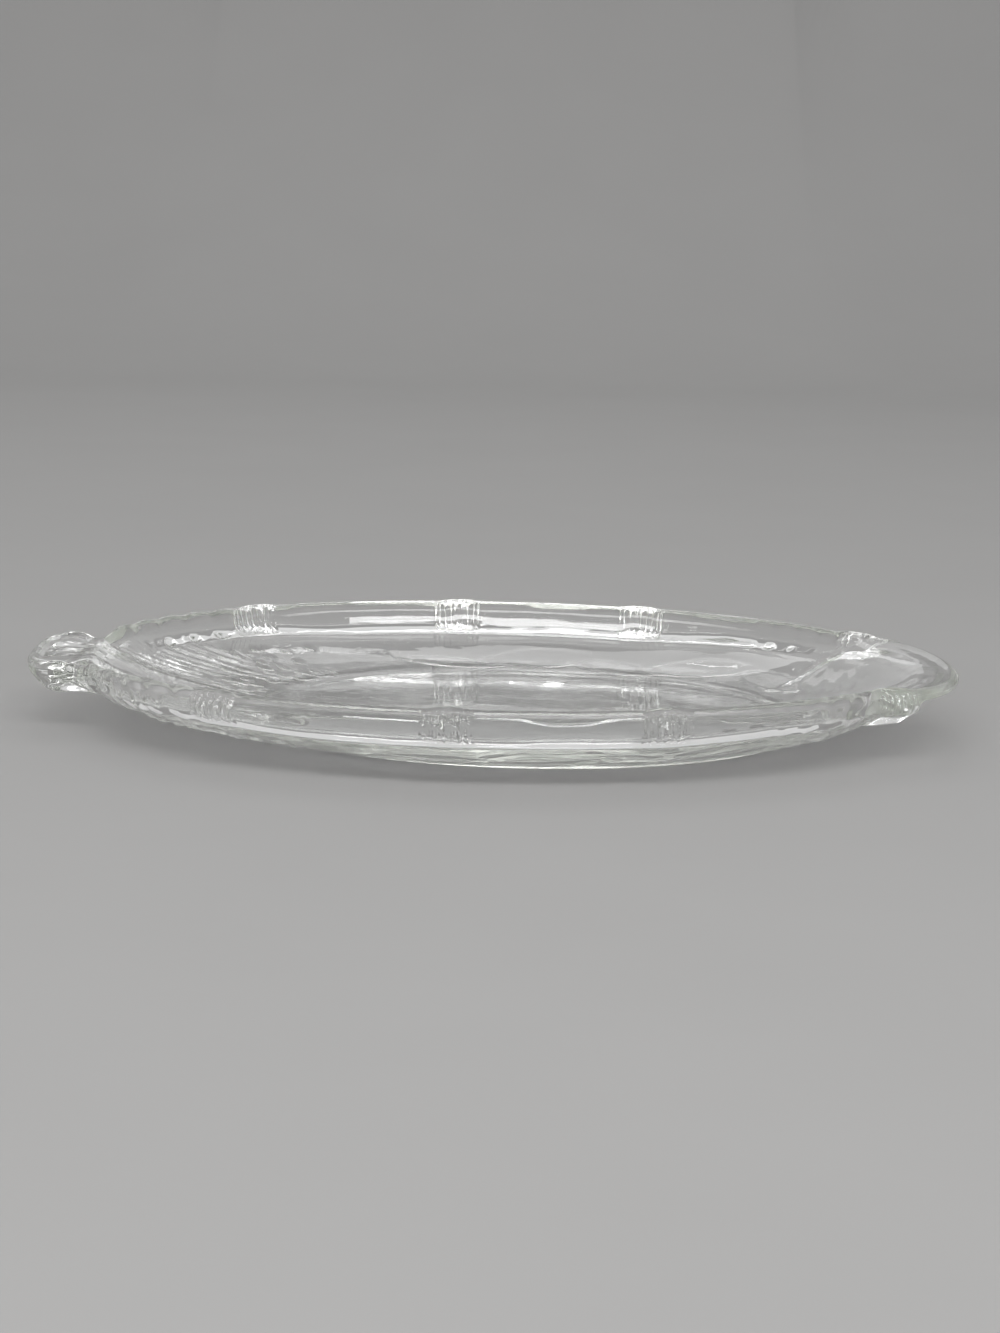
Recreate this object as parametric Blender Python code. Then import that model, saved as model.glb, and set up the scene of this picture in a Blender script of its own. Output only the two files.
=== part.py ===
"""Oval serving tray of clear pressed glass, modelled as the one piece it is.

Metres, +Z up. The long axis is X. The origin is under the middle of the
tray, on the surface that it stands on. The narrow lug handle points to -X,
the broad one to +X, and the two long sides mirror each other across Y = 0.
"""

import math

import bmesh
import bpy
import numpy as np

MM = 0.001

# Plan of the tray, at the outside of the rim
OVAL_A_LEFT = 172 * MM       # oval dish, middle to its -X end
OVAL_A_RIGHT = 178 * MM      # oval dish, middle to its +X end
OVAL_B = 121 * MM            # oval dish, half width
LUG_X = -176 * MM            # narrow lug handle: middle, half length, half width
LUG_A = 14 * MM
LUG_B = 33.5 * MM
LUG_POWER = 2.4              # rounder than a box, blunter than an ellipse
TAB_X = 150 * MM             # broad tab handle: middle, half length, half width
TAB_A = 40 * MM
TAB_B = 63 * MM
FLOOR_X = 14 * MM            # middle of the floor and of the foot
FLOOR_A = 109 * MM           # flat floor inside
FLOOR_B = 81 * MM
FOOT_A = 112 * MM            # outside of the low, flat foot
FOOT_B = 83.5 * MM

# Heights
LIP_Z = 31 * MM              # top of the knuckles on the long sides
FLOOR_Z = 6 * MM             # top of the floor
FOOT_RISE = 1.3 * MM         # height of the foot
BAND_Z = 14.9 * MM           # lower edge of the rim wall, near the ends
BAND_SAG = 1.8 * MM          # and lower still in the middle of each long side
BAND_TIP_Z = 19.5 * MM       # at the tip of the lug
WING_Z = 21.5 * MM           # underside of the broad handle at its edge
COVE_STEP = 2.3 * MM         # inner cove above the lower edge of the rim wall
DROOP_FROM = 125 * MM        # the rim falls away towards the handles
DROOP_LUG = 2.4 * MM
DROOP_TAB = 2.6 * MM
NOTCH_DIP = 3.0 * MM         # dip of the lip where the lug meets the oval
NOTCH_WIDTH = 7 * MM

# Rim section, measured inwards from the outline
COVE_IN = 10.4 * MM
COVE_END = 22 * MM           # at both ends, where the wall runs out into the slope
CHAMFER_IN = 7.1 * MM        # bevel under the rim wall
CHAMFER_UP = 5.3 * MM
BELLY = 1.1 * MM             # greatest swell of the outer wall between knuckles
RIDGE_BACK = 4.5 * MM        # the ridge behind the lug, inside the oval
LUG_HOLLOW = 1.9 * MM        # top of the lug below its own lip
TAB_HOLLOW = 0.7 * MM

# Reeded knuckles on the rim, by where they stand along X (on both long sides)
KNUCKLE_X = [159 * MM, 66 * MM, -17 * MM, -107 * MM]
KNUCKLE_HALF = 10.5 * MM
KNUCKLE_REEDS = 8
KNUCKLE_OUT = 1.6 * MM
REED_DEPTH = 0.55 * MM
KNUCKLE_UP = 0.8 * MM

# Scallops next to the lug, and flutes next to the broad handle
SCALLOP_PITCH = 15 * MM
SCALLOP_DEPTH = 0.7 * MM     # in plan
SCALLOP_RISE = 0.7 * MM      # of the lower edge
SCALLOP_LIP = 0.8 * MM       # of the lip
SCALLOP_FROM_X = 112 * MM
FLUTE_PITCH = 11.5 * MM
FLUTE_DEPTH = 0.45 * MM

# Fineness
STEP_SIDE = 13 * MM
STEP_END = FLUTE_PITCH / 3.0


def in_oval(x, y):
    a = np.where(x < 0, OVAL_A_LEFT, OVAL_A_RIGHT)
    return (x / a) ** 2 + (y / OVAL_B) ** 2 <= 1


def tab_arc():
    """Tab handle from its tip up to where it runs into the oval."""
    t = np.linspace(0.0, math.pi / 2, 4001)
    x, y = TAB_X + TAB_A * np.cos(t), TAB_B * np.sin(t)
    n = int(np.argmax(in_oval(x, y)))
    return x[:n], y[:n]


def lug_arc():
    """Lug handle from where it leaves the oval to its tip."""
    t = np.linspace(math.pi, 0.0, 8001)
    c, s = np.cos(t), np.sin(t)
    x = LUG_X + LUG_A * np.sign(c) * np.abs(c) ** (2 / LUG_POWER)
    y = LUG_B * np.abs(s) ** (2 / LUG_POWER)
    n = int(np.argmax(in_oval(x, y)))
    return x[:n][::-1], y[:n][::-1]


def oval_angle(x, y):
    """Angle on the oval, as if it were a circle, for a point on it."""
    return math.atan2(y / OVAL_B, x / (OVAL_A_LEFT if x < 0 else OVAL_A_RIGHT))


def smooth_step(a, b, v):
    t = min(1.0, max(0.0, (v - a) / (b - a)))
    return t * t * (3 - 2 * t)


class HalfOutline:
    """Half of the outline, from the +X tip to the -X tip, by its own length."""

    def __init__(self):
        tab_x, tab_y = tab_arc()
        lug_x, lug_y = lug_arc()
        t = np.linspace(
            oval_angle(tab_x[-1], tab_y[-1]), oval_angle(lug_x[0], lug_y[0]), 4002
        )[1:-1]
        c = np.cos(t)
        oval_x = np.where(c < 0, OVAL_A_LEFT, OVAL_A_RIGHT) * c
        self.x = np.concatenate([tab_x, oval_x, lug_x])
        self.y = np.concatenate([tab_y, OVAL_B * np.sin(t), lug_y])
        step = np.hypot(np.diff(self.x), np.diff(self.y))
        self.s = np.concatenate([[0.0], np.cumsum(step)])
        self.length = float(self.s[-1])
        self.cusps = [float(self.s[len(tab_x)]), float(self.s[-len(lug_x)])]
        self.lug_angle = oval_angle(lug_x[0], lug_y[0])
        side = self.s < self.cusps[1]
        order = np.argsort(self.x[side])
        self.knuckles = [
            float(np.interp(kx, self.x[side][order], self.s[side][order]))
            for kx in KNUCKLE_X
        ]

    def point(self, s):
        return (
            float(np.interp(s, self.s, self.x)),
            float(np.interp(s, self.s, self.y)),
        )

    def stations(self):
        """Lengths along the half outline where a section is placed."""
        fine = [(k - KNUCKLE_HALF, k + KNUCKLE_HALF) for k in self.knuckles]
        marks = {0.0, self.length}
        for lo, hi in fine:
            marks.update((lo, hi))
        for cusp in self.cusps:
            if not any(lo < cusp < hi for lo, hi in fine):
                marks.add(cusp)
        marks = sorted(marks)
        out = [0.0]
        for a, b in zip(marks[:-1], marks[1:]):
            mid = (a + b) / 2
            if any(lo <= mid <= hi for lo, hi in fine):
                n = 2 * KNUCKLE_REEDS
            else:
                near_end = abs(self.point(mid)[0]) > SCALLOP_FROM_X
                n = max(1, math.ceil((b - a) / (STEP_END if near_end else STEP_SIDE)))
            out += [a + (b - a) * i / n for i in range(1, n + 1)]
        return out


def rim_features(half, s, x):
    """How far the wall swells at a knuckle, how far it is drawn in, how far the
    lip stands up and how far the lower edge is lifted, at s."""
    swell, up, block = 0.0, 0.0, 0.0
    for k in half.knuckles:
        u = (s - k) / KNUCKLE_HALF
        if abs(u) < 1.0 - 1e-6:
            block = smooth_step(0.0, 0.5, 1 - abs(u))
            reed = 0.5 - 0.5 * math.cos(2 * math.pi * KNUCKLE_REEDS * (u + 1) / 2)
            swell = block * (KNUCKLE_OUT + REED_DEPTH * reed)
            up = block * KNUCKLE_UP
    cusp = half.cusps[1]
    left = smooth_step(SCALLOP_FROM_X, SCALLOP_FROM_X + 12 * MM, -x) * (1 - block)
    left *= 1 - 0.8 * smooth_step(cusp - 2 * MM, cusp + 10 * MM, s)
    dip = 1 - abs(math.cos(math.pi * (cusp - s) / SCALLOP_PITCH))
    drawn, lift = SCALLOP_DEPTH * left * dip, SCALLOP_RISE * left * dip
    up -= SCALLOP_LIP * left * dip
    right = smooth_step(95 * MM, 130 * MM, x) * (1 - block)
    right *= smooth_step(half.knuckles[0], half.knuckles[0] + 4 * MM, s)
    dip = math.sin(math.pi * (s - half.knuckles[0]) / FLUTE_PITCH) ** 2
    drawn += FLUTE_DEPTH * right * dip
    lift += 0.6 * SCALLOP_RISE * right * dip
    return swell, drawn, up, lift


def belly_at(half, s):
    """Uneven swell of the outer wall along the long sides."""
    wave = 0.45 + 0.4 * math.sin(2 * math.pi * s / (71 * MM) + 1.3)
    wave += 0.24 * math.sin(2 * math.pi * s / (43 * MM) + 0.4)
    tab, lug = half.cusps
    fade = smooth_step(tab + 30 * MM, tab + 60 * MM, s)
    fade *= 1 - smooth_step(lug - 60 * MM, lug - 30 * MM, s)
    return BELLY * min(1.0, max(0.0, wave)) * fade


def lip_height(half, s, x, up):
    droop = DROOP_LUG if x < 0 else DROOP_TAB
    t = max(0.0, (abs(x) - DROOP_FROM) / (190 * MM - DROOP_FROM))
    dip = NOTCH_DIP * math.exp(-(((s - half.cusps[1]) / NOTCH_WIDTH) ** 2))
    return LIP_Z - KNUCKLE_UP + up - droop * t * t - dip


def floor_point(angle, a, b):
    return np.array([FLOOR_X + a * math.cos(angle), b * math.sin(angle)])


def wing_width(edge, inward):
    """How far inside the edge of the broad handle the oval runs."""
    size = np.array([OVAL_A_RIGHT, OVAL_B])
    p, d = edge / size, inward / size
    a, b, c = d @ d, p @ d, p @ p - 1
    return max(0.0, (-b - math.sqrt(max(0.0, b * b - a * c))) / a)


def frame_of(half, s):
    """Where the section at s starts at the rim, where it crosses the oval, the
    way inwards from there, and its angle on the floor."""
    edge = np.array(half.point(s))
    along = max(0.0, (s - half.cusps[1]) / (half.length - half.cusps[1]))
    if along > 0.0:
        angle = half.lug_angle + (math.pi - half.lug_angle) * along
        end = OVAL_A_LEFT - RIDGE_BACK * smooth_step(0.0, 0.6, along)
        oval = np.array([end * math.cos(angle), OVAL_B * math.sin(angle)])
    else:
        angle, oval = oval_angle(*edge), edge
        if s < half.cusps[0]:
            straight = floor_point(angle, FLOOR_A, FLOOR_B) - edge
            straight /= np.hypot(*straight)
            oval = edge + straight * wing_width(edge, straight)
    inward = floor_point(angle, FLOOR_A, FLOOR_B) - oval
    return edge, oval, inward / np.hypot(*inward), angle


def section(half, s):
    """One section of the tray, from the middle of the floor, over the lip and
    under to the middle of the underside, as points (x, y, z) with y >= 0."""
    edge, oval, inward, angle = frame_of(half, s)
    x = float(edge[0])
    middle = np.array([FLOOR_X, 0.0])
    floor = floor_point(angle, FLOOR_A, FLOOR_B)
    foot = floor_point(angle, FOOT_A, FOOT_B)
    tab_cusp, lug_cusp = half.cusps

    # On a handle a section first crosses the handle, from its edge to the oval.
    tongue = float(np.hypot(*(oval - edge)))
    across = (oval - edge) / tongue if tongue > 1e-9 else inward
    handle = smooth_step(0.0, 8 * MM, tongue)
    slim = 1 - 0.62 * (handle if s > lug_cusp else 0.0)

    def at(d):
        if d <= tongue:
            return edge + across * d
        return oval + inward * (d - tongue)

    def mix(a, b):
        return a + (b - a) * handle

    swell, drawn, up, lift = rim_features(half, s, x)
    belly = belly_at(half, s)
    lip = lip_height(half, s, x, up)
    sag = BAND_SAG * (1 - smooth_step(60 * MM, 118 * MM, abs(x)))
    if x < 0:
        low0 = BAND_Z + (BAND_TIP_Z - BAND_Z) * smooth_step(177 * MM, 190 * MM, -x) - sag
        plate, hollow, ridge_drop, inner = low0 + 0.2 * MM, LUG_HOLLOW, 0.3 * MM, 0.3 * MM
    else:
        end = half.knuckles[0] - KNUCKLE_HALF
        wing = 1 - smooth_step(end - 3 * MM, end + 2.5 * MM, s)
        low0 = BAND_Z + (WING_Z - BAND_Z) * wing - sag
        plate, hollow, ridge_drop, inner = WING_Z - 0.7 * MM, TAB_HOLLOW, 1.0 * MM, 1.2 * MM
    low = low0 + lift
    high = lip - low
    chamfer = min(CHAMFER_UP, 0.37 * high) * (0.25 + 0.75 * slim)
    cove = BAND_Z + COVE_STEP - 0.9 * sag
    ridge = lip - mix(0.0, ridge_drop)
    ease = smooth_step(lug_cusp - 38 * MM, lug_cusp + 4 * MM, s)
    ease += 1 - smooth_step(tab_cusp - 40 * MM, tab_cusp + 40 * MM, s)
    cove_at = at(tongue + COVE_IN + ease * (COVE_END - COVE_IN))

    pts = []

    def add(p, z):
        pts.append((float(p[0]), float(p[1]), float(z)))

    # floor, slope and inner wall
    add(middle + 0.55 * (floor - middle), FLOOR_Z)
    add(floor, FLOOR_Z)
    for g, w in ((0.35, 0.21), (0.7, 0.59)):
        add(floor + (cove_at - floor) * g, FLOOR_Z + (cove - FLOOR_Z) * w)
    add(cove_at, cove)
    add(
        at(tongue + (9.1 + ease * 3.9) * MM),
        cove + 2.6 * MM * (1 - ease) + 0.43 * (ridge - cove) * ease,
    )
    add(at(tongue + mix(7.5, 5.0) * MM), mix(lip - 4.5 * MM, ridge - 0.8 * MM))
    # lip, or the flat of a handle inside its lip
    add(at(mix(5.6 * MM, tongue + 2.4 * MM)), mix(lip - 2.2 * MM, ridge))
    add(at(mix(4.7 * MM, max(tongue - 0.5 * MM, 7.6 * MM))), lip - mix(1.45 * MM, hollow))
    add(at(mix(3.8, 5.6) * MM), lip - mix(0.7 * MM, hollow))
    add(at(mix(2.7, 3.2) * MM), lip)
    add(at(1.4 * MM - 0.1 * swell + 0.4 * drawn), lip - 0.6 * MM)
    # outer wall and the bevel under it
    add(at(0.2 * MM - 0.6 * swell + 0.85 * drawn), lip - 2.2 * MM)
    add(at(-swell + drawn - 0.75 * belly), lip - 0.36 * high)
    add(at(0.3 * MM - 0.6 * swell + drawn - 0.55 * belly), low + chamfer + 0.04 * high)
    add(at(CHAMFER_IN * slim + 0.5 * drawn), low)
    add(
        at(mix(9.1 * MM, max(tongue + 1.5 * MM, 10.6 * MM))),
        mix(low - 0.8 * MM, plate),
    )
    # underside of the slope, and the foot
    under = at(tongue + 9.6 * MM)
    base = mix(low0 - 1.0 * MM, BAND_Z + inner)
    for f in (0.68, 0.34):
        w = 0.5 * f + 0.5 * f ** 2.4
        add(foot + (under - foot) * f, FOOT_RISE + (base - FOOT_RISE) * w)
    add(foot, FOOT_RISE)
    ring = (foot - middle) / np.hypot(*(foot - middle))
    add(foot - ring * 0.4 * MM, 0.0)
    add(middle + 0.55 * (foot - middle), 0.0)
    return pts


def glass_material():
    mat = bpy.data.materials.new("clear_glass")
    mat.use_nodes = True
    shader = mat.node_tree.nodes["Principled BSDF"]
    shader.inputs["Base Color"].default_value = (0.93, 0.96, 0.94, 1.0)
    shader.inputs["Roughness"].default_value = 0.03
    shader.inputs["Metallic"].default_value = 0.0
    shader.inputs["IOR"].default_value = 1.5
    shader.inputs["Transmission Weight"].default_value = 1.0
    return mat


def build_tray():
    half = HalfOutline()
    upper = [section(half, s) for s in half.stations()]
    # The tips lie on the X axis exactly.
    for sec in (upper[0], upper[-1]):
        sec[:] = [(x, 0.0, z) for x, _, z in sec]
    lower = [[(x, -y, z) for x, y, z in sec] for sec in reversed(upper[1:-1])]
    sections = upper + lower

    bm = bmesh.new()
    rings = [[bm.verts.new(p) for p in sec] for sec in sections]
    count, rows = len(rings), len(rings[0])
    for i in range(count):
        a, b = rings[i], rings[(i + 1) % count]
        for r in range(rows - 1):
            bm.faces.new((a[r], a[r + 1], b[r + 1], b[r]))
    bm.faces.new([ring[0] for ring in rings])
    bm.faces.new([ring[-1] for ring in reversed(rings)])
    bmesh.ops.recalc_face_normals(bm, faces=bm.faces)
    bmesh.ops.triangulate(bm, faces=[f for f in bm.faces if len(f.verts) == 4])

    mesh = bpy.data.meshes.new("tray_body")
    bm.to_mesh(mesh)
    bm.free()
    mesh.shade_smooth()
    mesh.set_sharp_from_angle(angle=math.radians(35))
    obj = bpy.data.objects.new("tray_body", mesh)
    obj.data.materials.append(glass_material())
    bpy.context.scene.collection.objects.link(obj)
    return obj


for old in list(bpy.data.objects):
    bpy.data.objects.remove(old, do_unlink=True)

build_tray()
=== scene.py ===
"""Clear pressed-glass serving tray on a plain pale sweep, under soft studio light."""

import math

import bpy
import numpy as np
from mathutils import Matrix, Vector, noise


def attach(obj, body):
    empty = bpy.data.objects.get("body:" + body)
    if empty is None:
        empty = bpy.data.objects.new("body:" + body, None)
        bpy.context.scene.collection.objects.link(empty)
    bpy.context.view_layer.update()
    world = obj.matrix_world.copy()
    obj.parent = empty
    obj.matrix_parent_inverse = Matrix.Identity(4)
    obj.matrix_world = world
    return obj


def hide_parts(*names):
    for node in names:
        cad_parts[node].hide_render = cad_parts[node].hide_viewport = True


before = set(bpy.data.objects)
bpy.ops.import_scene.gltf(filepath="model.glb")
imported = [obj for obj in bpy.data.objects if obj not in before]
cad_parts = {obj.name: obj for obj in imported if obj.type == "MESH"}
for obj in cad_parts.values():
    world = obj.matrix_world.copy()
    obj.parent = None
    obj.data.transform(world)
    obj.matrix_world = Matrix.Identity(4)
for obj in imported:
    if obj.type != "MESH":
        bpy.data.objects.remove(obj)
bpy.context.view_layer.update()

MM = 0.001
TURN = 2 * math.pi

# ---------------------------------------------------------------- dimensions
# Plan of the tray, as in the CAD
OVAL_A_LEFT = 172 * MM
OVAL_A_RIGHT = 178 * MM
OVAL_B = 121 * MM
LUG_X = -176 * MM
LUG_A = 14 * MM
LUG_B = 33.5 * MM
LUG_POWER = 2.4
TAB_X = 150 * MM
TAB_A = 40 * MM
TAB_B = 63 * MM
FLOOR_X = 14 * MM
FLOOR_A = 109 * MM
FLOOR_B = 81 * MM
FOOT_A = 112 * MM
FOOT_B = 83.5 * MM

LIP_Z = 31 * MM
FLOOR_Z = 6 * MM
FOOT_RISE = 1.3 * MM
RECESS_Z = 0.0
BAND_Z = 14.9 * MM
BAND_SAG = 1.8 * MM          # lower still in the middle of each long side
BAND_TIP_Z = 19.5 * MM
COVE_STEP = 2.3 * MM
DROOP_FROM = 125 * MM
DROOP_LUG = 2.4 * MM
DROOP_TAB = 2.6 * MM
NOTCH_DIP = 3.0 * MM
NOTCH_WIDTH = 7 * MM
COVE_IN = 10.4 * MM
COVE_END = 22 * MM            # at both ends, where the wall runs out into the slope

# Reeded knuckles on the rim
KNUCKLE_X = [159 * MM, 66 * MM, -17 * MM, -107 * MM]
KNUCKLE_HALF = 10.5 * MM
KNUCKLE_REEDS = 8
KNUCKLE_OUT = 1.5 * MM
REED_DEPTH = 1.35 * MM
KNUCKLE_UP = 0.8 * MM

# Scallops next to the lug, and flutes between the broad handle and the middle
SCALLOP_PITCH = 15 * MM
SCALLOP_DEPTH = 0.7 * MM      # in plan
SCALLOP_RISE = 0.7 * MM       # of the lower edge
SCALLOP_LIP = 0.8 * MM        # of the lip
SCALLOP_FROM_X = 112 * MM
FLUTE_PITCH = 11.5 * MM
FLUTE_DEPTH = 0.45 * MM
BELLY = 1.1 * MM              # greatest swell of the outer wall between the knuckles
FLUTE_FROM_X = 40 * MM

# The lug: a flat plate outside the ridge that carries on the oval
RIDGE_BACK = 4.5 * MM

# The broad handle: a flat wing outside the oval
WING_A = OVAL_A_RIGHT
WING_Z = 21.5 * MM            # its underside at the edge

# Relief under the sloping wall, and inside next to the lug
RIB_PITCH = 5.6 * MM
RIB_HEIGHT = 0.58 * MM
FAN_PITCH = 7.7 * MM          # soft ribs that fan out inside, next to the lug
FAN_HEIGHT = 0.55 * MM
BEAD_HEIGHT = 0.42           # of the bead's radius
LEAF_HEIGHT = 0.38 * MM
# leaf outlines: place along the side, depth on the wall, lean, half length, half width
LEAVES = [
    (0.06, 0.50, 0.22, 24 * MM, 6.5 * MM),
    (0.29, 0.60, -0.20, 27 * MM, 7.5 * MM),
    (0.50, 0.42, 0.16, 23 * MM, 6.0 * MM),
    (0.70, 0.60, -0.15, 29 * MM, 8.0 * MM),
    (0.92, 0.45, 0.20, 22 * MM, 6.0 * MM),
]


def smooth(a, b, v):
    t = np.clip((v - a) / (b - a), 0.0, 1.0)
    return t * t * (3 - 2 * t)


# ------------------------------------------------------------------- outline
def in_oval(x, y):
    a = np.where(x < 0, OVAL_A_LEFT, OVAL_A_RIGHT)
    return (x / a) ** 2 + (y / OVAL_B) ** 2 <= 1


def oval_angle(x, y):
    return np.arctan2(y / OVAL_B, x / np.where(x < 0, OVAL_A_LEFT, OVAL_A_RIGHT))


def soften(v, width, odd):
    """Gaussian blur of an evenly spaced line that mirrors at both ends."""
    n = int(4 * width) + 1
    if odd:
        ext = np.concatenate([2 * v[0] - v[n:0:-1], v, 2 * v[-1] - v[-2:-n - 2:-1]])
    else:
        ext = np.concatenate([v[n:0:-1], v, v[-2:-n - 2:-1]])
    k = np.exp(-0.5 * (np.arange(-n, n + 1) / width) ** 2)
    return np.convolve(ext, k / k.sum(), mode="valid")


class Outline:
    """Half of the outline, from the +X tip to the -X tip, by its own length."""

    def __init__(self):
        t = np.linspace(0.0, math.pi / 2, 6001)
        tx, ty = TAB_X + TAB_A * np.cos(t), TAB_B * np.sin(t)
        n = int(np.argmax(in_oval(tx, ty)))
        tx, ty = tx[:n], ty[:n]
        t = np.linspace(math.pi, 0.0, 12001)
        c, s = np.cos(t), np.sin(t)
        lx = LUG_X + LUG_A * np.sign(c) * np.abs(c) ** (2 / LUG_POWER)
        ly = LUG_B * np.abs(s) ** (2 / LUG_POWER)
        n = int(np.argmax(in_oval(lx, ly)))
        lx, ly = lx[:n][::-1], ly[:n][::-1]
        self.lug_angle = float(oval_angle(lx[0], ly[0]))
        t = np.linspace(float(oval_angle(tx[-1], ty[-1])), self.lug_angle, 6002)[1:-1]
        c = np.cos(t)
        ox, oy = np.where(c < 0, OVAL_A_LEFT, OVAL_A_RIGHT) * c, OVAL_B * np.sin(t)
        x = np.concatenate([tx, ox, lx])
        y = np.concatenate([ty, oy, ly])
        d = np.concatenate([[0.0], np.cumsum(np.hypot(np.diff(x), np.diff(y)))])
        cusps = d[len(tx)], d[-len(lx)]
        # even spacing, then the corners between the arcs are rounded
        step = 0.1 * MM
        n = int(d[-1] / step)
        e = np.linspace(0.0, d[-1], n + 1)
        x = soften(np.interp(e, d, x), 11.0, False)
        y = soften(np.interp(e, d, y), 11.0, True)
        y[0] = y[-1] = 0.0
        self.x, self.y = x, y
        self.s = np.concatenate([[0.0], np.cumsum(np.hypot(np.diff(x), np.diff(y)))])
        scale = self.s[-1] / d[-1]
        self.length = float(self.s[-1])
        self.tab_cusp, self.lug_cusp = cusps[0] * scale, cusps[1] * scale
        side = self.s < self.lug_cusp
        order = np.argsort(x[side])
        self.knuckles = [
            float(np.interp(kx, x[side][order], self.s[side][order])) for kx in KNUCKLE_X
        ]
        # angle on the floor for every length
        fine = np.linspace(0.0, self.length, 3001)
        px, py = self.point(fine)
        along = (fine - self.lug_cusp) / (self.length - self.lug_cusp)
        cut = int(np.argmax(along > 0))
        ang = oval_angle(px, py)
        start = ang[cut - 1]
        ang = np.where(along > 0, start + (math.pi - start) * along, ang)
        self.fine = fine
        self.angle_line = np.maximum.accumulate(ang)

    def point(self, s):
        return np.interp(s, self.s, self.x), np.interp(s, self.s, self.y)

    def angle(self, s):
        return np.interp(s, self.fine, self.angle_line)

    def spread(self, step_of):
        """Lengths along the half outline, spaced as the function says."""
        e = np.linspace(0.0, self.length, 8001)
        dens = np.cumsum(np.concatenate([[0.0], np.diff(e) / step_of(e[1:])]))
        n = int(round(dens[-1]))
        return np.interp(np.linspace(0.0, dens[-1], n + 1), dens, e)


OUT = Outline()


# ------------------------------------------------------------------- section
def rim_features(s, x):
    """How far the rim wall and the bevel under it stand out, how far the lip
    stands up, and how far the lower edge is lifted, at s."""
    out = np.zeros_like(s)
    up = np.zeros_like(s)
    block = np.zeros_like(s)
    for k in OUT.knuckles:
        u = (s - k) / KNUCKLE_HALF
        pillow = smooth(0.0, 0.8, 1 - np.abs(u))
        out = np.maximum(out, pillow * 0.35 * MM)
        up = np.maximum(up, pillow * KNUCKLE_UP)
        block = np.maximum(block, pillow)
    # scallops next to the lug; the lug itself is nearly plain
    left = smooth(SCALLOP_FROM_X, SCALLOP_FROM_X + 12 * MM, -x) * (1 - block)
    left = left * (1 - 0.8 * smooth(OUT.lug_cusp - 2 * MM, OUT.lug_cusp + 10 * MM, s))
    dip = 1 - np.sqrt(np.cos(math.pi * (OUT.lug_cusp - s) / SCALLOP_PITCH) ** 2 + 0.01)
    up = up - SCALLOP_LIP * left * dip
    plain = out
    out = out - SCALLOP_DEPTH * left * dip
    lift = SCALLOP_RISE * left * dip
    # flutes towards the broad handle, deeper at the end
    right = smooth(FLUTE_FROM_X, FLUTE_FROM_X + 15 * MM, x) * (1 - block)
    right = right * smooth(OUT.knuckles[0], OUT.knuckles[0] + 4 * MM, s)
    right = right * (0.45 + 0.55 * smooth(95 * MM, 130 * MM, x))
    dip = np.sin(math.pi * (s - OUT.knuckles[0]) / FLUTE_PITCH) ** 2
    out = out - FLUTE_DEPTH * right * dip
    lift = lift + 0.4 * SCALLOP_RISE * right * dip * smooth(90 * MM, 125 * MM, x)
    return out, plain + 0.3 * (out - plain), up, lift


def wing_width(edge, inward):
    """How far inside the edge of the broad handle the wall of the oval stands."""
    px, py = edge[:, 0] / WING_A, edge[:, 1] / OVAL_B
    dx, dy = inward[:, 0] / WING_A, inward[:, 1] / OVAL_B
    a, b, c = dx * dx + dy * dy, px * dx + py * dy, px * px + py * py - 1
    root = np.sqrt(np.maximum(b * b - a * c, 0.0))
    return np.maximum(0.0, (-b - root) / a)


ROW = {}


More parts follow.
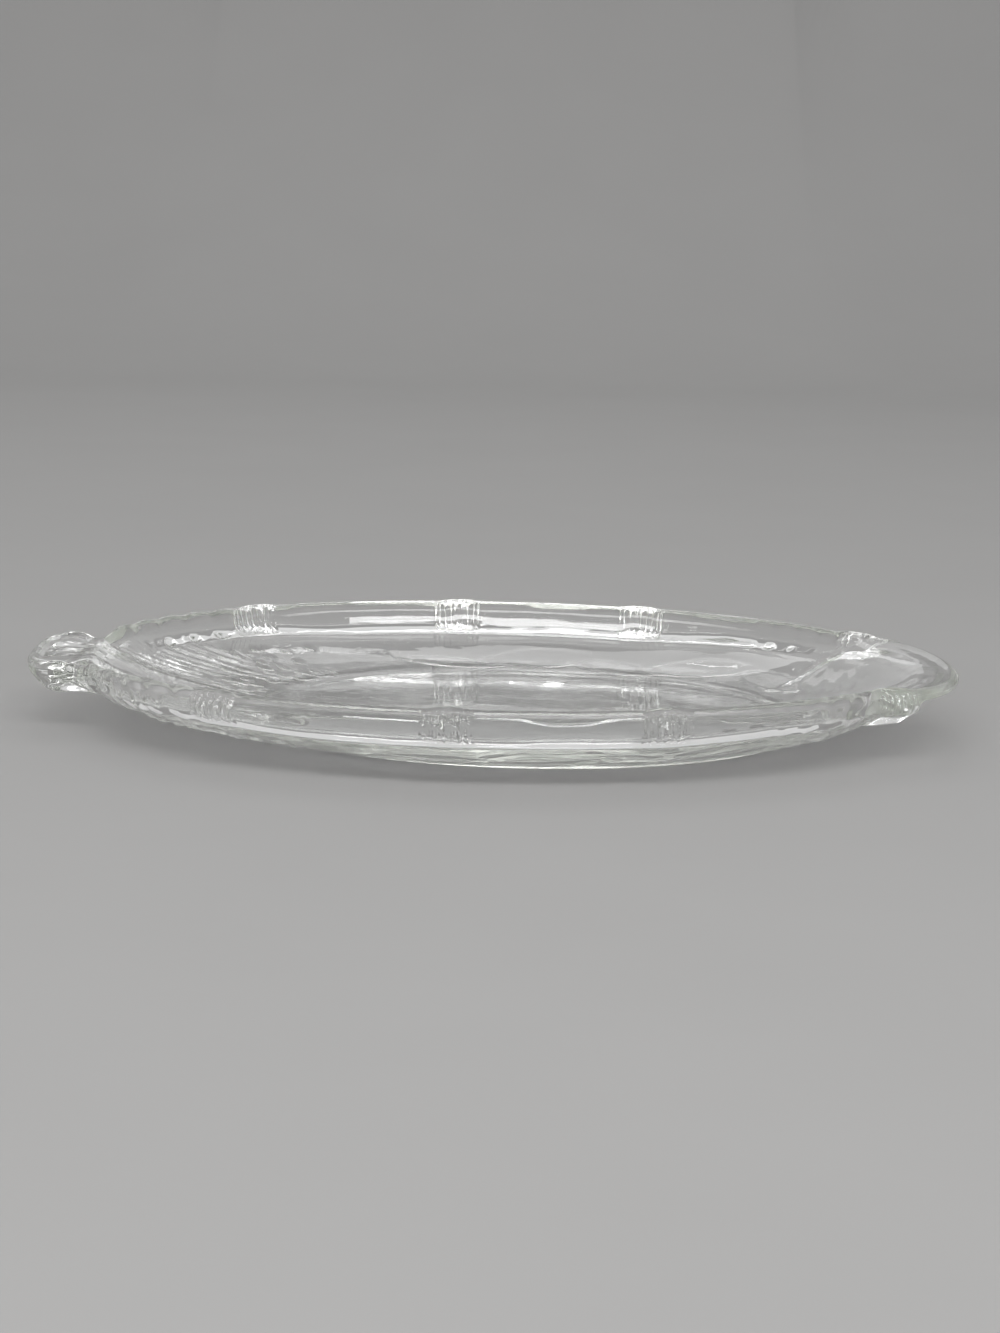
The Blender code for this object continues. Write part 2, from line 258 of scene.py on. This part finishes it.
def controls(s):
    """Control points of the section at every s: (len(s), rows, 3), y >= 0."""
    ex, ey = OUT.point(s)
    edge = np.stack([ex, ey], 1)
    ang = OUT.angle(s)
    on_lug = s > OUT.lug_cusp
    knob = OUT.knuckles[0]
    on_tab = s < OUT.tab_cusp
    middle = np.array([FLOOR_X, 0.0])
    ring = np.stack([np.cos(ang), np.sin(ang)], 1)
    floor = middle + ring * np.array([FLOOR_A, FLOOR_B])
    foot = middle + ring * np.array([FOOT_A, FOOT_B])
    straight = floor - edge
    straight /= np.linalg.norm(straight, axis=1)[:, None]
    wing = np.where(on_tab, wing_width(edge, straight), 0.0)
    along = (s - OUT.lug_cusp) / (OUT.length - OUT.lug_cusp)
    ridge_a = OVAL_A_LEFT - RIDGE_BACK * smooth(0.0, 0.6, along)
    oval = np.where(
        on_lug[:, None],
        np.stack([ridge_a * np.cos(ang), OVAL_B * np.sin(ang)], 1),
        edge + straight * wing[:, None],
    )
    inward = floor - oval
    inward /= np.linalg.norm(inward, axis=1)[:, None]
    gap = oval - edge
    tongue = np.where(on_lug | on_tab, np.linalg.norm(gap, axis=1), 0.0)
    across = np.where(
        (tongue > 1e-6)[:, None], gap / np.maximum(tongue, 1e-9)[:, None], inward
    )
    lug = smooth(0.0, 8 * MM, tongue)

    def at(d):
        d = np.broadcast_to(d, s.shape)
        first = np.minimum(d, tongue)
        return edge + across * first[:, None] + inward * (d - first)[:, None]

    def mix(a, b):
        return a + (b - a) * lug

    mm = MM
    out, soft, up, lift = rim_features(s, ex)
    droop = np.where(ex < 0, DROOP_LUG, DROOP_TAB)
    t = np.maximum(0.0, (np.abs(ex) - DROOP_FROM) / (190 * MM - DROOP_FROM))
    dip = NOTCH_DIP * np.exp(-(((s - OUT.lug_cusp) / NOTCH_WIDTH) ** 2))
    lip = LIP_Z - KNUCKLE_UP + up - droop * t * t - dip
    sag = BAND_SAG * (1 - smooth(60 * MM, 118 * MM, np.abs(ex)))
    low_lug = BAND_Z + (BAND_TIP_Z - BAND_Z) * smooth(177 * MM, 190 * MM, -ex)
    end = knob - KNUCKLE_HALF
    low_tab = BAND_Z + (WING_Z - BAND_Z) * (1 - smooth(end - 3 * mm, end + 2.5 * mm, s))
    low0 = np.where(ex < 0, low_lug, low_tab) - sag
    low = low0 + lift
    inner = np.where(ex < 0, 0.3, 1.2) * mm
    cove = BAND_Z + COVE_STEP - 0.9 * sag
    hollow = np.where(ex < 0, 1.9, 0.7) * mm
    ridge = lip - mix(0.0, np.where(ex < 0, 0.3, 1.0) * mm)
    rise = ridge - cove
    high = lip - low
    chamfer = np.minimum(5.3 * mm, 0.37 * high)
    # the outer wall swells unevenly between the knuckles
    belly = 0.45 + 0.4 * np.sin(TURN * s / (71 * mm) + 1.3) + 0.24 * np.sin(TURN * s / (43 * mm) + 0.4)
    belly = BELLY * np.clip(belly, 0.0, 1.0) * smooth(OUT.tab_cusp + 30 * mm, OUT.tab_cusp + 60 * mm, s)
    belly = belly * (1 - smooth(OUT.lug_cusp - 60 * mm, OUT.lug_cusp - 30 * mm, s))
    # the steep inner wall runs out into an even slope towards both ends
    ease = smooth(OUT.lug_cusp - 38 * mm, OUT.lug_cusp + 4 * mm, s)
    ease = ease + 1 - smooth(OUT.tab_cusp - 40 * mm, OUT.tab_cusp + 40 * mm, s)
    cove_at = at(tongue + COVE_IN + ease * (COVE_END - COVE_IN))
    under = at(tongue + 9.6 * mm)

    def wall(d0, d1, z0, z1):
        return at(tongue + (d0 + ease * (d1 - d0)) * mm), cove + z0 * mm * (1 - ease) + z1 * rise * ease

    rows = []

    def add(p, z, name=None):
        if name:
            ROW[name] = len(rows) - 1
        rows.append(np.column_stack([p, np.broadcast_to(z, s.shape)]))

    for rho in (0.90, 0.97):
        add(middle + rho * (floor - middle), FLOOR_Z)
    for g, w in ((0.06, 0.012), (0.25, 0.13), (0.5, 0.36), (0.75, 0.66), (0.92, 0.89)):
        add(floor + (cove_at - floor) * g, FLOOR_Z + (cove - FLOOR_Z) * w)
    add(cove_at, cove + 0.05 * mm, "cove")
    add(*wall(9.6, 17.5, 0.5, 0.21))
    add(*wall(9.1, 13.0, 2.6, 0.43))
    add(*wall(8.6, 9.0, 5.4, 0.62))
    add(at(tongue + mix(7.6, 5.0) * mm), mix(lip - 4.6 * mm, ridge - 0.9 * mm), "bevel")
    add(at(mix(6.5 * mm, tongue + 2.4 * mm)), mix(lip - 2.9 * mm, ridge + 0.1 * mm))
    add(at(mix(5.6 * mm, np.maximum(tongue - 0.5 * mm, 7.6 * mm))), lip - mix(2.15 * mm, hollow))
    add(at(mix(4.7, 6.2) * mm), lip - mix(1.4 * mm, hollow))
    add(at(mix(3.8, 5.4) * mm), lip - mix(0.66 * mm, hollow - 0.15 * mm))
    add(at(mix(3.1, 3.6) * mm), lip - 0.08 * mm)
    add(at(mix(2.5, 2.8) * mm - 0.1 * out), lip + 0.1 * mm)
    add(at(1.9 * mm - 0.2 * out), lip - 0.15 * mm)
    add(at(1.45 * mm - 0.4 * out), lip - 0.5 * mm)
    add(at(1.1 * mm - 0.5 * out), lip - 0.98 * mm)
    add(at(0.72 * mm - 0.6 * out), lip - 1.6 * mm)
    add(at(0.34 * mm - 0.75 * out), lip - 2.25 * mm)
    add(at(0.1 * mm - 0.85 * out), lip - 3.3 * mm, "wall")
    add(at(-out - 0.6 * belly), lip - 0.26 * high)
    add(at(-out - belly), lip - 0.42 * high)
    slim = 1 - 0.62 * np.where(on_lug, lug, 0.0)
    add(at(0.05 * mm - out - 0.8 * belly), low + chamfer + 0.1 * high, "wall_low")
    add(at(0.55 * slim * mm - soft - 0.35 * belly), low + chamfer)
    add(at(3.8 * slim * mm - 0.8 * soft), low + 0.53 * chamfer)
    add(at(7.1 * slim * mm - 0.5 * soft), low + 0.072 * chamfer)
    add(at((8.1 - 3.0 * (1 - slim)) * mm - 0.3 * soft), low - 0.3 * slim * mm, "under")
    plate = np.where(ex < 0, low_lug + 0.2 * mm, WING_Z - 0.7 * mm)
    add(at(mix(8.6, 10.0) * mm), mix(low - 0.6 * mm, plate))
    add(at(mix(9.1 * mm, np.maximum(tongue + 1.5 * mm, 10.6 * mm))), mix(low - 0.8 * mm, plate))
    base = mix(low0 - 1.0 * mm, BAND_Z + inner)
    for f in (0.97, 0.84, 0.68, 0.51, 0.34, 0.17, 0.05):
        add(foot + (under - foot) * f, FOOT_RISE + (base - FOOT_RISE) * (0.5 * f + 0.5 * f ** 2.4))
    out_way = (foot - middle) / np.linalg.norm(foot - middle, axis=1)[:, None]
    for k, (d, z) in enumerate((
        (0.0, 1.0), (0.1, 0.35), (0.4, -0.02), (1.6, 0.0), (4.2, 0.0), (7.0, 0.0), (10.0, 0.0),
    )):
        add(foot - out_way * d * mm, z * mm, ("foot", None)[min(k, 1)])
    ROW["end"] = len(rows) - 3
    width = np.linalg.norm(under - foot, axis=1)
    return np.stack(rows, 1), width


def spline(ctrl, t):
    """Points of the cubic B-spline through the control rows at each t."""
    t = np.asarray(t, float)
    i = np.clip(np.floor(t).astype(int), 0, ctrl.shape[1] - 4)
    u = t - i
    b = np.stack([
        (1 - u) ** 3, 3 * u ** 3 - 6 * u ** 2 + 4,
        -3 * u ** 3 + 3 * u ** 2 + 3 * u + 1, u ** 3,
    ]) / 6.0
    pts = np.zeros((ctrl.shape[0], len(t), 3))
    for k in range(4):
        pts += ctrl[:, i + k, :] * b[k][None, :, None]
    return pts


# -------------------------------------------------------------------- relief
def bead_field():
    """Beads scattered over the -X third of the sloping wall, by seed."""
    rng = np.random.default_rng(20611)
    found = []
    for _ in range(1400):
        x = rng.uniform(-136, -34) * MM
        y = rng.uniform(0, 112) * MM
        r = rng.uniform(1.9, 3.4) * MM
        q = x + 0.32 * y
        if q < -119 * MM:
            continue
        thin = (x + 110 * MM) / (70 * MM) + 0.25 * math.sin(y * 90)
        if rng.uniform() < 0.35 + 0.9 * thin:
            continue
        if all((x - a) ** 2 + (y - b) ** 2 > (0.92 * (r + c)) ** 2 for a, b, c, _ in found):
            found.append((x, y, r, rng.uniform(0.4, 1.2)))
    return np.array(found)


BEADS = bead_field()


def bead_height(x, y):
    h = np.zeros_like(x)
    for bx, by, r, tall in BEADS:
        near = (np.abs(x - bx) < r) & (np.abs(y - by) < r)
        if not near.any():
            continue
        d2 = ((x[near] - bx) ** 2 + (y[near] - by) ** 2) / (r * r)
        bump = np.clip(1 - d2, 0, None) ** 1.2 * BEAD_HEIGHT * tall * r
        h[near] = np.maximum(h[near], bump)
    return h


def line_ridge(d, half, height):
    return height * np.clip(1 - (d / half) ** 2, 0, None)


def relief(s, f, x, y, width):
    """Height of the pressed relief on the underside of the sloping wall."""
    y = np.abs(y)
    inside = smooth(0.03, 0.14, f) * (1 - smooth(0.88, 0.97, f))
    # slanting ribs next to the lug
    q = x + 0.32 * y
    rib = 0.5 + 0.5 * np.cos(2 * math.pi * q / RIB_PITCH)
    left = smooth(-146 * MM, -139 * MM, q) * (1 - smooth(-128 * MM, -121 * MM, q))
    h = RIB_HEIGHT * rib * left
    # fainter ribs next to the tab
    q = -x + 0.32 * y
    rib = 0.5 + 0.5 * np.cos(2 * math.pi * q / (8.5 * MM))
    right = smooth(-150 * MM, -142 * MM, q) * (1 - smooth(-112 * MM, -104 * MM, q))
    h = h + 0.14 * MM * rib * right
    h = np.maximum(h, bead_height(x, y))
    # long leaf outlines along the rest of each long side
    along = s * 0.8
    w = f * width
    a0, a1 = 0.8 * OUT.knuckles[0], 0.8 * float(np.interp(-54 * MM, OUT.x[::-1], OUT.s[::-1]))
    leaves = np.zeros_like(w)
    for place, depth, lean, long, wide in LEAVES:
        du, dw = along - (a0 + (a1 - a0) * place), w - depth * width
        u = du * math.cos(lean) + dw * math.sin(lean)
        v = dw * math.cos(lean) - du * math.sin(lean)
        side = wide * np.clip(1 - (u / long) ** 2, 0, None)
        d = np.where(np.abs(u) < long, np.abs(np.abs(v) - side), np.hypot(np.abs(u) - long, v))
        leaves = np.maximum(leaves, line_ridge(d, 2.2 * MM, LEAF_HEIGHT))
    return np.maximum(h, leaves) * inside


def fan(s, t):
    """Height of the soft ribs inside, from the steep of the wall down the slope."""
    wave = 0.5 + 0.5 * np.cos(TURN * (s - OUT.lug_cusp) / FAN_PITCH)
    spread = smooth(OUT.lug_cusp - 60 * MM, OUT.lug_cusp - 48 * MM, s)
    spread = spread * (1 - smooth(OUT.lug_cusp, OUT.lug_cusp + 9 * MM, s))
    steep = smooth(2.4, 4.2, t) * (1 - smooth(ROW["bevel"] - 1.6, ROW["bevel"] - 0.2, t))
    return FAN_HEIGHT * (wave * spread)[:, None] * steep[None, :]


# ---------------------------------------------------------------------- mesh
def stations_rim():
    def step(e):
        x, _ = OUT.point(e)
        st = np.where(np.abs(x) > 112 * MM, 1.25, 2.2) * MM
        for k in OUT.knuckles:
            st = np.where(np.abs(e - k) < KNUCKLE_HALF + 0.8 * MM, 0.36 * MM, st)
        return st
    return OUT.spread(step)


def stations_under():
    def step(e):
        x, _ = OUT.point(e)
        return np.where(x < -48 * MM, 0.85, np.where(x > 120 * MM, 1.5, 1.3)) * MM
    return OUT.spread(step)


class Skin:
    """Vertices and triangles of a closed surface, made ring by ring."""

    def __init__(self):
        self.pts, self.tris, self.count = [], [], 0

    def ring(self, upper, s):
        """Adds a ring from its y >= 0 half; returns (indices, places)."""
        upper = np.array(upper)
        upper[0, 1] = upper[-1, 1] = 0.0
        lower = upper[-2:0:-1] * np.array([1, -1, 1])
        pts = np.vstack([upper, lower])
        u = np.concatenate([s, 2 * OUT.length - s[-2:0:-1]]) / (2 * OUT.length)
        idx = np.arange(self.count, self.count + len(pts))
        self.pts.append(pts)
        self.count += len(pts)
        return idx, u

    def zip(self, a, b):
        (ia, ua), (ib, ub) = a, b
        na, nb = len(ia), len(ib)
        if na == nb and np.allclose(ua, ub):
            ja, jb = np.roll(ia, -1), np.roll(ib, -1)
            self.tris.append(np.stack([ia, ib, jb], 1))
            self.tris.append(np.stack([ia, jb, ja], 1))
            return
        ua, ub = np.append(ua, 1.0), np.append(ub, 1.0)
        i = j = 0
        out = []
        while i < na or j < nb:
            if j >= nb or (i < na and ua[i + 1] <= ub[j + 1]):
                out.append((ia[i], ib[j % nb], ia[(i + 1) % na]))
                i += 1
            else:
                out.append((ia[i % na], ib[j], ib[(j + 1) % nb]))
                j += 1
        self.tris.append(np.array(out))

    def cap(self, ring, point, flip):
        idx, _ = ring
        c = self.count
        self.pts.append(np.array([point]))
        self.count += 1
        nxt = np.roll(idx, -1)
        self.tris.append(
            np.stack([np.full_like(idx, c), nxt, idx] if flip else [np.full_like(idx, c), idx, nxt], 1)
        )


def grid_normals(p):
    """Normals of a (stations, rows, 3) grid, pointing out of the glass."""
    ds = np.gradient(p, axis=0)
    dr = np.gradient(p, axis=1)
    n = np.cross(dr, ds)
    return n / np.maximum(np.linalg.norm(n, axis=2), 1e-12)[:, :, None]


def glass_mesh():
    skin = Skin()
    rings = []

    # floor, as ever smaller ovals from the middle out
    inner = []
    for rho in np.linspace(0.07, 0.86, 12):
        a = np.linspace(0.0, math.pi, 8 + int(70 * rho))
        s = np.interp(a, OUT.angle_line, OUT.fine)
        s[0], s[-1] = 0.0, OUT.length
        pts = np.column_stack([
            FLOOR_X + rho * FLOOR_A * np.cos(a), rho * FLOOR_B * np.sin(a),
            np.full_like(a, FLOOR_Z),
        ])
        inner.append(skin.ring(pts, s))
    rings += inner

    # sloping wall inside
    s = OUT.spread(lambda e: np.where(e > OUT.lug_cusp - 70 * MM, 1.1, 2.3) * MM)
    ctrl, _ = controls(s)
    t = np.linspace(0.0, ROW["cove"] + 0.2, 13)
    grid = spline(ctrl, t)
    grid = grid + grid_normals(grid) * fan(s, t)[:, :, None]
    rings += [skin.ring(grid[:, r], s) for r in range(grid.shape[1])]

    # inner wall, lip and outer wall of the rim
    s = stations_rim()
    ctrl, _ = controls(s)
    t = np.concatenate([
        np.linspace(ROW["cove"] + 0.5, ROW["bevel"], 11)[:-1],
        np.linspace(ROW["bevel"], ROW["wall"], 19)[:-1],
        np.linspace(ROW["wall"], ROW["under"] - 0.3, 16),
    ])
    grid = spline(ctrl, t)
    # the knuckles: rounded pillows on the outer wall, finely reeded
    n = grid_normals(grid)
    band = smooth(ROW["wall"] - 0.4, ROW["wall"] + 1.9, t)
    band = band * (1 - smooth(ROW["wall_low"] - 0.5, ROW["wall_low"] + 1.8, t))
    reeded = smooth(ROW["wall"] - 2.8, ROW["wall"] - 0.6, t)
    reeded = reeded * (1 - smooth(ROW["wall_low"] - 0.2, ROW["wall_low"] + 2.0, t))
    for k in OUT.knuckles:
        u = (s - k) / KNUCKLE_HALF
        pillow = smooth(0.0, 0.9, 1 - np.abs(u))
        round_ = (KNUCKLE_REEDS * (u + 1) / 2) % 1.0 * 2 - 1
        reed = smooth(0.0, 0.25, 1 - np.abs(u)) * REED_DEPTH * np.sqrt(1 - 0.92 * round_ ** 2)
        # no two reeds run quite even
        uneven = 1 + 0.2 * np.cos(TURN * t[None, :] / 1.8 + 2.4 * np.floor(KNUCKLE_REEDS * (u + 1) / 2)[:, None])
        swell = (pillow * KNUCKLE_OUT)[:, None] * band[None, :]
        swell = swell + reed[:, None] * reeded[None, :] * uneven
        grid = grid + n * swell[:, :, None]
    grid = grid + n * fan(s, t)[:, :, None]
    rings += [skin.ring(grid[:, r], s) for r in range(grid.shape[1])]

    # underside of the sloping wall, with its relief
    s = stations_under()
    ctrl, width = controls(s)
    t = np.linspace(ROW["under"] + 0.1, ROW["foot"] - 0.6, 39)
    grid = spline(ctrl, t)
    n = grid_normals(grid)
    # place between the foot (0) and the rim band (1)
    ang = OUT.angle(s)
    foot = np.stack([FLOOR_X + FOOT_A * np.cos(ang), FOOT_B * np.sin(ang)], 1)
    f = np.linalg.norm(grid[:, :, :2] - foot[:, None, :], axis=2) / width[:, None]
    h = relief(
        np.broadcast_to(s[:, None], f.shape), f, grid[:, :, 0], grid[:, :, 1],
        np.broadcast_to(width[:, None], f.shape),
    )
    grid = grid + n * h[:, :, None]
    rings += [skin.ring(grid[:, r], s) for r in range(grid.shape[1])]

    # foot ring
    s = OUT.spread(lambda e: np.full_like(e, 1.9 * MM))
    ctrl, _ = controls(s)
    grid = spline(ctrl, np.linspace(ROW["foot"] - 0.3, ROW["end"], 14))
    rings += [skin.ring(grid[:, r], s) for r in range(grid.shape[1])]

    # underside of the floor
    for rho, n in ((0.8, 80), (0.5, 36), (0.2, 12)):
        a = np.linspace(0.0, math.pi, n + 1)
        s = np.interp(a, OUT.angle_line, OUT.fine)
        s[0], s[-1] = 0.0, OUT.length
        pts = np.column_stack([
            FLOOR_X + rho * FOOT_A * np.cos(a), rho * FOOT_B * np.sin(a),
            np.full_like(a, RECESS_Z),
        ])
        rings.append(skin.ring(pts, s))

    for a, b in zip(rings[:-1], rings[1:]):
        skin.zip(a, b)
    skin.cap(rings[0], (FLOOR_X, 0.0, FLOOR_Z), False)
    skin.cap(rings[-1], (FLOOR_X, 0.0, RECESS_Z), True)

    pts, tris = np.vstack(skin.pts), np.vstack(skin.tris)
    a, b, c = (pts[tris[:, k]] for k in range(3))
    if np.einsum("ij,ij->i", a, np.cross(b, c)).sum() < 0:
        tris = tris[:, ::-1]
    # slow unevenness of the fire-polished skin, drawn out along the wall
    a, b, c = (pts[tris[:, k]] for k in range(3))
    face = np.cross(b - a, c - a)
    out = np.zeros_like(pts)
    for k in range(3):
        np.add.at(out, tris[:, k], face)
    out /= np.maximum(np.linalg.norm(out, axis=1), 1e-20)[:, None]
    for i, p in enumerate(pts):
        v = Vector((p[0] * 34, p[1] * 34, p[2] * 75))
        rim = min(1.0, max(0.0, (p[2] - 13 * MM) / (6 * MM)))
        lift = noise.noise(v) * 0.11 + noise.noise(v * 2.7) * (0.04 + 0.03 * rim)
        lift += noise.noise(Vector((p[0] * 26, p[1] * 26, p[2] * 310))) * (0.03 + 0.02 * rim)
        calm = min(1.0, max(0.0, (p[2] - 0.15 * MM) / (1 * MM)))
        calm *= 1 - 0.8 * min(1.0, max(0.0, (-p[0] - 166 * MM) / (5 * MM)))
        if p[2] < 7 * MM and out[i][2] > 0.9:
            lift += noise.noise(Vector((p[0] * 22, p[1] * 55, 3.0))) * 0.07
        pts[i] += out[i] * (lift * MM * calm)

    mesh = bpy.data.meshes.new("glass_tray")
    mesh.from_pydata(pts.tolist(), [], tris.tolist())
    mesh.update()
    mesh.shade_smooth()
    return mesh


# ------------------------------------------------------------------ material
def glass_material():
    mat = bpy.data.materials.new("pressed_glass")
    mat.use_nodes = True
    nt = mat.node_tree
    shader = nt.nodes["Principled BSDF"]
    shader.inputs["Base Color"].default_value = (0.997, 0.999, 0.997, 1.0)
    shader.inputs["Metallic"].default_value = 0.0
    shader.inputs["IOR"].default_value = 1.5
    shader.inputs["Transmission Weight"].default_value = 1.0
    place = nt.nodes.new("ShaderNodeTexCoord")
    # faint handling marks: roughness
    marks = nt.nodes.new("ShaderNodeTexNoise")
    marks.inputs["Scale"].default_value = 22.0
    marks.inputs["Detail"].default_value = 4.0
    span = nt.nodes.new("ShaderNodeMapRange")
    span.inputs["From Min"].default_value = 0.35
    span.inputs["From Max"].default_value = 0.75
    span.inputs["To Min"].default_value = 0.0
    span.inputs["To Max"].default_value = 0.05
    nt.links.new(place.outputs["Object"], marks.inputs["Vector"])
    nt.links.new(marks.outputs["Fac"], span.inputs["Value"])
    nt.links.new(span.outputs["Result"], shader.inputs["Roughness"])
    # mould skin: a very shallow ripple
    ripple = nt.nodes.new("ShaderNodeTexNoise")
    ripple.inputs["Scale"].default_value = 180.0
    ripple.inputs["Detail"].default_value = 2.0
    bump = nt.nodes.new("ShaderNodeBump")
    bump.inputs["Strength"].default_value = 0.25
    bump.inputs["Distance"].default_value = 0.0002
    nt.links.new(place.outputs["Object"], ripple.inputs["Vector"])
    nt.links.new(ripple.outputs["Fac"], bump.inputs["Height"])
    nt.links.new(bump.outputs["Normal"], shader.inputs["Normal"])
    # the tint deepens with the path through the glass
    tint = nt.nodes.new("ShaderNodeVolumeAbsorption")
    tint.inputs["Color"].default_value = (0.812, 0.824, 0.797, 1.0)
    tint.inputs["Density"].default_value = 10.0
    nt.links.new(tint.outputs["Volume"], nt.nodes["Material Output"].inputs["Volume"])
    return mat


def sweep_material():
    mat = bpy.data.materials.new("pale_sweep")
    mat.use_nodes = True
    nt = mat.node_tree
    shader = nt.nodes["Principled BSDF"]
    place = nt.nodes.new("ShaderNodeTexCoord")
    grain = nt.nodes.new("ShaderNodeTexNoise")
    grain.inputs["Scale"].default_value = 9.0
    grain.inputs["Detail"].default_value = 6.0
    ramp = nt.nodes.new("ShaderNodeValToRGB")
    ramp.color_ramp.elements[0].color = (0.283, 0.280, 0.277, 1.0)
    ramp.color_ramp.elements[1].color = (0.297, 0.294, 0.291, 1.0)
    nt.links.new(place.outputs["Object"], grain.inputs["Vector"])
    nt.links.new(grain.outputs["Fac"], ramp.inputs["Fac"])
    nt.links.new(ramp.outputs["Color"], shader.inputs["Base Color"])
    shader.inputs["Roughness"].default_value = 0.75
    shader.inputs["Specular IOR Level"].default_value = 0.2
    return mat


# --------------------------------------------------------------------- scene
tray = bpy.data.objects.new("glass_tray", glass_mesh())
tray.data.materials.append(glass_material())
bpy.context.scene.collection.objects.link(tray)
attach(tray, "root")
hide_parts("tray_body")


def sweep_mesh():
    """Floor that runs up into a backdrop behind the tray, higher at its sides."""
    columns = [(-3.5, 70.0), (-0.38, 70.0), (-0.32, 52.8), (0.32, 52.8), (0.38, 70.0), (3.5, 70.0)]
    r, steps = 1.0, 24
    verts, faces = [], []
    for x, top in columns:
        verts += [(x, -3.0, -0.0002), (x, 1.4, -0.0002)]
        for i in range(1, steps + 1):
            a = math.radians(top * i / steps)
            verts.append((x, 1.4 + r * math.sin(a), r - r * math.cos(a) - 0.0002))
    n = steps + 2
    for c in range(len(columns) - 1):
        for i in range(n - 1):
            k = c * n + i
            faces.append((k, k + n, k + n + 1, k + 1))
    mesh = bpy.data.meshes.new("sweep")
    mesh.from_pydata(verts, [], faces)
    mesh.shade_smooth()
    return mesh


floor = bpy.data.objects.new("sweep", sweep_mesh())
floor.data.materials.append(sweep_material())
bpy.context.scene.collection.objects.link(floor)

world = bpy.data.worlds.new("studio")
world.use_nodes = True
nt = world.node_tree
back = nt.nodes["Background"]
back.inputs["Color"].default_value = (1.0, 1.0, 1.0, 1.0)
way = nt.nodes.new("ShaderNodeTexCoord")
part = nt.nodes.new("ShaderNodeSeparateXYZ")
span = nt.nodes.new("ShaderNodeMapRange")
span.inputs["From Min"].default_value = -1.0
span.inputs["From Max"].default_value = 1.0
span.inputs["To Min"].default_value = 0.61
span.inputs["To Max"].default_value = 0.705
nt.links.new(way.outputs["Generated"], part.inputs["Vector"])
nt.links.new(part.outputs["Y"], span.inputs["Value"])
nt.links.new(span.outputs["Result"], back.inputs["Strength"])
bpy.context.scene.world = world


def area_light(name, place, aim, size_x, size_y, power):
    data = bpy.data.lights.new(name, "AREA")
    data.shape = "RECTANGLE"
    data.size, data.size_y = size_x, size_y
    data.energy = power
    obj = bpy.data.objects.new(name, data)
    obj.location = place
    obj.rotation_euler = (Vector(aim) - Vector(place)).to_track_quat("-Z", "Y").to_euler()
    bpy.context.scene.collection.objects.link(obj)
    return obj


# the fill is one broad card that falls off towards both ends
for name, x, width, strength in (("fill", 0.0, 2.2, 6.5),
                                 ("fill_left_1", -1.275, 0.35, 4.6), ("fill_right_1", 1.275, 0.35, 4.6),
                                 ("fill_left_2", -1.6, 0.3, 2.9), ("fill_right_2", 1.6, 0.3, 2.9),
                                 ("fill_left_3", -1.9, 0.3, 1.5), ("fill_right_3", 1.9, 0.3, 1.5)):
    area_light(name, (x, -1.27, 1.67), (x, -0.1, 0.0), width, 0.5, strength * math.pi * width * 0.5)
area_light("sky", (-0.2, 1.5, 1.58), (-0.05, 0.0, 0.0), 1.15, 0.6, 3.9)
area_light("front", (0.0, -2.6, 0.72), (0.0, 0.0, 0.02), 3.0, 0.35, 38.0)
area_light("lamp", (-0.235, 0.67, 1.22), (0.0, 0.0, 0.0), 0.04, 0.06, 0.12)
area_light("window", (0.16, 0.87, 1.3), (0.0, 0.0, 0.0), 0.08, 0.3, 0.3)

# -------------------------------------------------------------------- camera
ELEVATION = math.radians(10.7)
DISTANCE = 1.2
FOCAL_PX = 2924.0
FRAME_W, FRAME_H = 1000.0, 1333.0
ROLL = math.radians(1.25)
AIM = Vector((0.0, 0.0, 0.031))
OFF_X, OFF_Y = 494.0 - FRAME_W / 2, 648.7 - FRAME_H / 2   # where the aim point lands

camera = bpy.data.cameras.new("camera")
camera.sensor_fit = "VERTICAL"
camera.sensor_height = 36.0
camera.lens = FOCAL_PX * 36.0 / FRAME_H
camera.clip_start = 0.05
eye = bpy.data.objects.new("camera", camera)
back = Vector((0.0, -math.cos(ELEVATION), math.sin(ELEVATION)))
spot = AIM + back * DISTANCE
turn = (AIM - spot).to_track_quat("-Z", "Y").to_matrix().to_4x4()
turn = turn @ Matrix.Rotation(ROLL, 4, "Z")
turn = turn @ Matrix.Rotation(math.atan(OFF_Y / FOCAL_PX), 4, "X")
turn = turn @ Matrix.Rotation(math.atan(OFF_X / FOCAL_PX), 4, "Y")
eye.matrix_world = Matrix.Translation(spot) @ turn
bpy.context.scene.collection.objects.link(eye)
bpy.context.scene.camera = eye

bpy.context.scene.view_settings.view_transform = "Standard"
bpy.context.scene.cycles.max_bounces = 48
bpy.context.scene.cycles.transmission_bounces = 48
bpy.context.scene.cycles.glossy_bounces = 48

bpy.context.view_layer.update()


def plain(box):
    return [[float(v) for v in corner] for corner in box]
